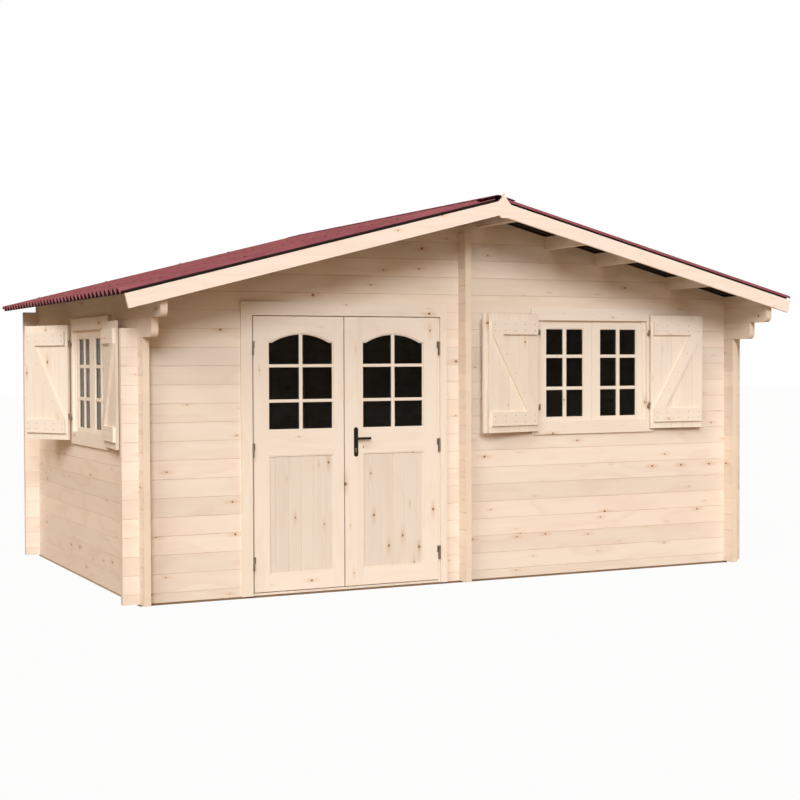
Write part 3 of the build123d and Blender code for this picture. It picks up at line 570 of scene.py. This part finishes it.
for node_name, key in look.items():
    dress(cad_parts[node_name], mats[key])


# Pieces

def piece(name, parts, material, body, bevel=0.0015, place=None):
    """One mesh from a list of (vertices, faces), with its edges eased, riding on a body."""
    mesh = bpy.data.meshes.new(name)
    bm = bmesh.new()
    for verts, faces in parts:
        made = [bm.verts.new(v) for v in verts]
        for face in faces:
            bm.faces.new([made[i] for i in face])
    bmesh.ops.recalc_face_normals(bm, faces=bm.faces)
    if bevel:
        sharp = [e for e in bm.edges if e.calc_face_angle(0.0) > 0.6]
        bmesh.ops.bevel(bm, geom=sharp, offset=bevel, segments=2, profile=0.5, affect="EDGES",
                        clamp_overlap=True)
    bm.to_mesh(mesh)
    bm.free()
    obj = bpy.data.objects.new(name, mesh)
    bpy.context.scene.collection.objects.link(obj)
    if place is not None:
        mesh.transform(place)
    dress(obj, mats[material])
    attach(obj, body)
    return obj


QUADS = [(0, 1, 2, 3), (4, 5, 6, 7), (0, 1, 5, 4), (1, 2, 6, 5), (2, 3, 7, 6), (3, 0, 4, 7)]


def box(x0, x1, y0, y1, z0, z1):
    return [(x, y, z) for z in (z0, z1) for x, y in ((x0, y0), (x1, y0), (x1, y1), (x0, y1))], QUADS


def hoop(outer, inner, y0, y1):
    """A frame between two (x, z) outlines with the same number of points."""
    count = len(outer)
    verts = [(x, y, z) for y in (y0, y1) for ring in (outer, inner) for x, z in ring]
    faces = []
    for i in range(count):
        j = (i + 1) % count
        faces += [(i, j, j + count, i + count), (i + 2 * count, j + 2 * count, j + 3 * count, i + 3 * count),
                  (i, j, j + 2 * count, i + 2 * count),
                  (i + count, j + count, j + 3 * count, i + 3 * count)]
    return verts, faces


def dome(centre, out, radius, height, sides=12):
    """A low rounded head that stands on a surface at a point."""
    out = Vector(out).normalized()
    side = out.orthogonal().normalized()
    other = out.cross(side)
    rings = ((radius, 0.0), (radius * 0.92, height * 0.5), (radius * 0.6, height * 0.9))
    verts, faces = [], []
    for reach, lift in rings:
        for i in range(sides):
            a = 2 * math.pi * i / sides
            spread = side * math.cos(a) * reach
            verts.append(Vector(centre) + spread + other * math.sin(a) * reach + out * lift)
    verts.append(Vector(centre) + out * height)
    for ring in range(len(rings) - 1):
        for i in range(sides):
            j = (i + 1) % sides
            faces.append((ring * sides + i, ring * sides + j, (ring + 1) * sides + j, (ring + 1) * sides + i))
    last = (len(rings) - 1) * sides
    faces += [(last + i, last + (i + 1) % sides, len(verts) - 1) for i in range(sides)]
    faces.append(tuple(reversed(range(sides))))
    return verts, faces


def rectangle(x0, x1, z0, z1, inset=0.0):
    x0, x1, z0, z1 = x0 + inset, x1 - inset, z0 + inset, z1 - inset
    return [(x0, z0), (x1, z0), (x1, z1), (x0, z1)]


# Windows: bars and glazing beads on both faces of the panes

def window_details(name, place, sill):
    bars, beads = [], []
    half_bar, half_rung = 0.0145, 0.012
    low, high = sill + PANE_FOOT, sill + PANE_HEAD
    for x0, x1 in ((-PANE_FAR, -PANE_NEAR), (PANE_NEAR, PANE_FAR)):
        mid = (x0 + x1) / 2
        for y0, y1 in ((0.008, 0.020), (0.024, 0.036)):
            bars.append(box(mid - half_bar, mid + half_bar, y0, y1, low, high))
            for z in (sill + 0.306, sill + 0.535):
                for a, b in ((x0, mid - half_bar), (mid + half_bar, x1)):
                    bars.append(box(a, b, y0 + 0.001, y1 - 0.001, z - half_rung, z + half_rung))
            outer, inner = rectangle(x0, x1, low, high), rectangle(x0, x1, low, high, 0.006)
            beads.append(hoop(outer, inner, y0 + 0.003, y1 - 0.003))
    piece(name + "_bars", bars, "bars", "shed", 0.003, place)
    piece(name + "_beads", beads, "bars", "shed", 0.0012, place)
    spots = [(x, z) for x in (-0.488, 0.488) for z in (0.03, 0.10, 0.30, 0.56, 0.76, 0.84)]
    spots += [(x, z) for z in (0.03, 0.84) for x in (-0.25, 0.0, 0.25)]
    nails = [dome((x, CASING_FACE, sill + z), (0, -1, 0), 0.0026, 0.0007, 8) for x, z in spots]
    piece(name + "_nails", nails, "zinc", "shed", 0, place)


for window, (place, sill) in windows.items():
    window_details(window, place, sill)


# Door leaves: bars, beads round the arched light, a moulding round the panel

def arch(x0, x1, inset, shoulder=0.022, steps=14):
    """The arched light's outline, counter-clockwise from the lower left."""
    left, right, spring, crown = x0 + inset, x1 - inset, SPRING - inset, CROWN - inset
    foot = LIGHT_FOOT + inset
    points = [(left, foot), (right, foot), (right, spring), (right - shoulder, spring)]
    half = (right - left) / 2 - shoulder
    rise = crown - spring
    radius = (half * half + rise * rise) / (2 * rise)
    centre_x, centre_z = (left + right) / 2, crown - radius
    start = math.atan2(spring - centre_z, half)
    for i in range(1, steps):
        angle = start + (math.pi - 2 * start) * i / steps
        points.append((centre_x + radius * math.cos(angle), centre_z + radius * math.sin(angle)))
    return points + [(left + shoulder, spring), (left, spring)]


def leaf_details(name, body, x0, x1):
    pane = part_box(name + "_glass")
    mid = (x0 + x1) / 2
    half_bar, half_rung = 0.0125, 0.0105
    bars, beads = [], []
    for y0, y1 in ((LEAF_FACE + 0.006, pane[0].y), (pane[1].y, LEAF_BACK - 0.006)):
        bars.append(box(mid - half_bar, mid + half_bar, y0, y1, LIGHT_FOOT, CROWN - 0.0005))
        for z in (1.282, 1.5125):
            for a, b in ((x0, mid - half_bar), (mid + half_bar, x1)):
                bars.append(box(a, b, y0 + 0.001, y1 - 0.001, z - half_rung, z + half_rung))
        beads.append(hoop(arch(x0, x1, 0.0), arch(x0, x1, 0.007), y0 + 0.002, y1 - 0.002))
    piece(name + "_bars", bars, "bars", body, 0.003)
    piece(name + "_light_beads", beads, "bars", body, 0.001)
    outer, inner = rectangle(x0, x1, *PANEL), rectangle(x0, x1, *PANEL, 0.008)
    moulding = [hoop(outer, inner, LEAF_FACE + 0.002, LEAF_FACE + 0.0079),
                hoop(outer, inner, LEAF_BACK - 0.0079, LEAF_BACK - 0.002)]
    piece(name + "_panel_bead", moulding, "bars", body, 0.0015)


leaf_details("left_leaf", "left_door_leaf", *LIGHTS[0])
leaf_details("right_leaf", "right_door_leaf", *LIGHTS[1])


# Backplates: lock cylinders and screws

def lock_details():
    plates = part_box("handle_plates")
    x = (plates[0].x + plates[1].x) / 2
    locks, screws, slots = [], [], []
    round_z, round_radius, taper_z, foot_z = 0.952, 0.0085, 0.948, 0.930
    for y, out in ((plates[0].y, -1), (plates[1].y, 1)):
        tip = y + out * 0.0022
        outline = [(x + round_radius * math.cos(a), round_z + round_radius * math.sin(a))
                   for a in (math.radians(d) for d in range(-50, 231, 20))]
        outline = [(x + 0.005, foot_z), *outline, (x - 0.005, foot_z)]
        inner = [(x + (px - x) * 0.3, taper_z + (pz - taper_z) * 0.3) for px, pz in outline]
        locks.append(hoop(outline, inner, min(y, tip), max(y, tip)))
        cut = y + out * 0.001
        slots.append(box(x - 0.0012, x + 0.0012, min(y, cut), max(y, cut), 0.944, 0.956))
        for z in (0.912, 1.089):
            screws.append(dome((x, y, z), (0, out, 0), 0.0042, 0.0014))
    piece("lock_cylinders", locks, "zinc", "right_door_leaf", 0.0004)
    piece("key_slots", slots, "bronze", "right_door_leaf", 0)
    piece("plate_screws", screws, "bronze", "right_door_leaf", 0)


lock_details()


# Shutters: screw heads along the battens and the brace

def shutter_screws(key, place, hand):
    spots = []
    for z in (0.075, 0.117, 0.711, 0.753):
        for board in range(SHUTTER_BOARDS):
            spots.append((SHUTTER_NEAR + SHUTTER_BOARD * (board + 0.5), z))
    for step in (0.25, 0.5, 0.75):
        spots.append((0.080 + 0.316 * step, 0.145 + 0.538 * step))
    heads = [dome((hand * x, BATTENS_FACE, z), (0, -1, 0), 0.0034, 0.001, 10) for x, z in spots]
    piece(key + "_shutter_screws", heads, "zinc", key + "_shutter_body", 0, place)


for key, (place, hand) in shutters.items():
    shutter_screws(key, place, hand)


# Roof: capped fixings on every second crest over each bearer

def roof_fixings():
    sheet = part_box("roof_sheet_left")
    slope = math.radians(ROOF_PITCH)
    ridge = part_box("right_wall")[1].z + 0.069 + math.tan(slope) * -SIDE
    caps = []
    for hand in (-1, 1):
        out = Vector((hand * math.sin(slope), 0, math.cos(slope)))
        for bearer in BEARERS:
            for wave in range(1, WAVES, 2):
                along = (wave + 0.25) * WAVE
                y = sheet[0].y + along if hand > 0 else sheet[1].y - along
                base = Vector((hand * bearer, y, ridge - math.tan(slope) * bearer)) + out * 0.0410
                caps.append(dome(base, out, 0.011, 0.006, 10))
    piece("roof_fixings", caps, "roof", "shed", 0)


roof_fixings()


# Floor and light

def stage_floor():
    mesh = bpy.data.meshes.new("studio_floor")
    size = 60.0
    corners = [(-size, -size, 0), (size, -size, 0), (size, size, 0), (-size, size, 0)]
    mesh.from_pydata(corners, [], [(0, 1, 2, 3)])
    obj = bpy.data.objects.new("studio_floor", mesh)
    bpy.context.scene.collection.objects.link(obj)
    obj.location.z = -0.0005
    obj.data.materials.append(floor_material("studio_floor"))


stage_floor()


def studio_world():
    """A wide soft light overhead that fades to a warm, dim level near the horizon.

    Seen directly, it is white.
    """
    world = bpy.data.worlds.new("studio")
    bpy.context.scene.world = world
    world.use_nodes = True
    tree = world.node_tree
    tree.nodes.clear()
    out = tree.nodes.new("ShaderNodeOutputWorld")
    light = tree.nodes.new("ShaderNodeBackground")
    seen = tree.nodes.new("ShaderNodeBackground")
    mix = tree.nodes.new("ShaderNodeMixShader")
    path = tree.nodes.new("ShaderNodeLightPath")
    either = tree.nodes.new("ShaderNodeMath")
    either.operation = "MAXIMUM"
    where = tree.nodes.new("ShaderNodeTexCoord")
    height = tree.nodes.new("ShaderNodeSeparateXYZ")
    ramp = tree.nodes.new("ShaderNodeValToRGB")
    ramp.color_ramp.elements[0].position = 0.0
    ramp.color_ramp.elements[0].color = (*LOW_LIGHT, 1)
    ramp.color_ramp.elements[1].position = 0.7
    ramp.color_ramp.elements[1].color = (*HIGH_LIGHT, 1)
    light.inputs["Strength"].default_value = AMBIENT
    seen.inputs["Color"].default_value = (1, 1, 1, 1)
    links = tree.links
    links.new(where.outputs["Generated"], height.inputs[0])
    links.new(height.outputs[2], ramp.inputs[0])
    links.new(ramp.outputs[0], light.inputs["Color"])
    links.new(path.outputs["Is Camera Ray"], either.inputs[0])
    links.new(path.outputs["Is Transmission Ray"], either.inputs[1])
    links.new(either.outputs[0], mix.inputs[0])
    links.new(light.outputs[0], mix.inputs[1])
    links.new(seen.outputs[0], mix.inputs[2])
    links.new(mix.outputs[0], out.inputs[0])


studio_world()


def sun(name, direction, strength, angle, color):
    data = bpy.data.lights.new(name, "SUN")
    data.energy = strength
    data.angle = math.radians(angle)
    data.color = color
    obj = bpy.data.objects.new(name, data)
    bpy.context.scene.collection.objects.link(obj)
    obj.rotation_euler = Vector(direction).to_track_quat("-Z", "Y").to_euler()


sun("key", (0.35, 0.90, -0.40), 2.15, 20, (0.86, 0.93, 1.0))
sun("fill", (0.9, 0.62, -0.80), 1.35, 30, (0.90, 0.95, 1.0))


# Camera

yaw, pitch, roll = math.radians(25.90), math.radians(-1.49), math.radians(-0.22)
forward = Vector((math.sin(yaw) * math.cos(pitch), math.cos(yaw) * math.cos(pitch), math.sin(pitch)))
level = Vector((math.cos(yaw), -math.sin(yaw), 0.0))
upward = level.cross(forward)
right = math.cos(roll) * level + math.sin(roll) * upward
up = -math.sin(roll) * level + math.cos(roll) * upward
camera_data = bpy.data.cameras.new("camera")
camera_data.sensor_width = 36.0
camera_data.lens = 36.0 * 1526.9 / 800.0
camera = bpy.data.objects.new("camera", camera_data)
bpy.context.scene.collection.objects.link(camera)
pose = Matrix((right, up, -forward)).transposed().to_4x4()
pose.translation = (-5.004, -10.754, 1.546)
camera.matrix_world = pose
bpy.context.scene.camera = camera
bpy.context.scene.view_settings.view_transform = "Standard"
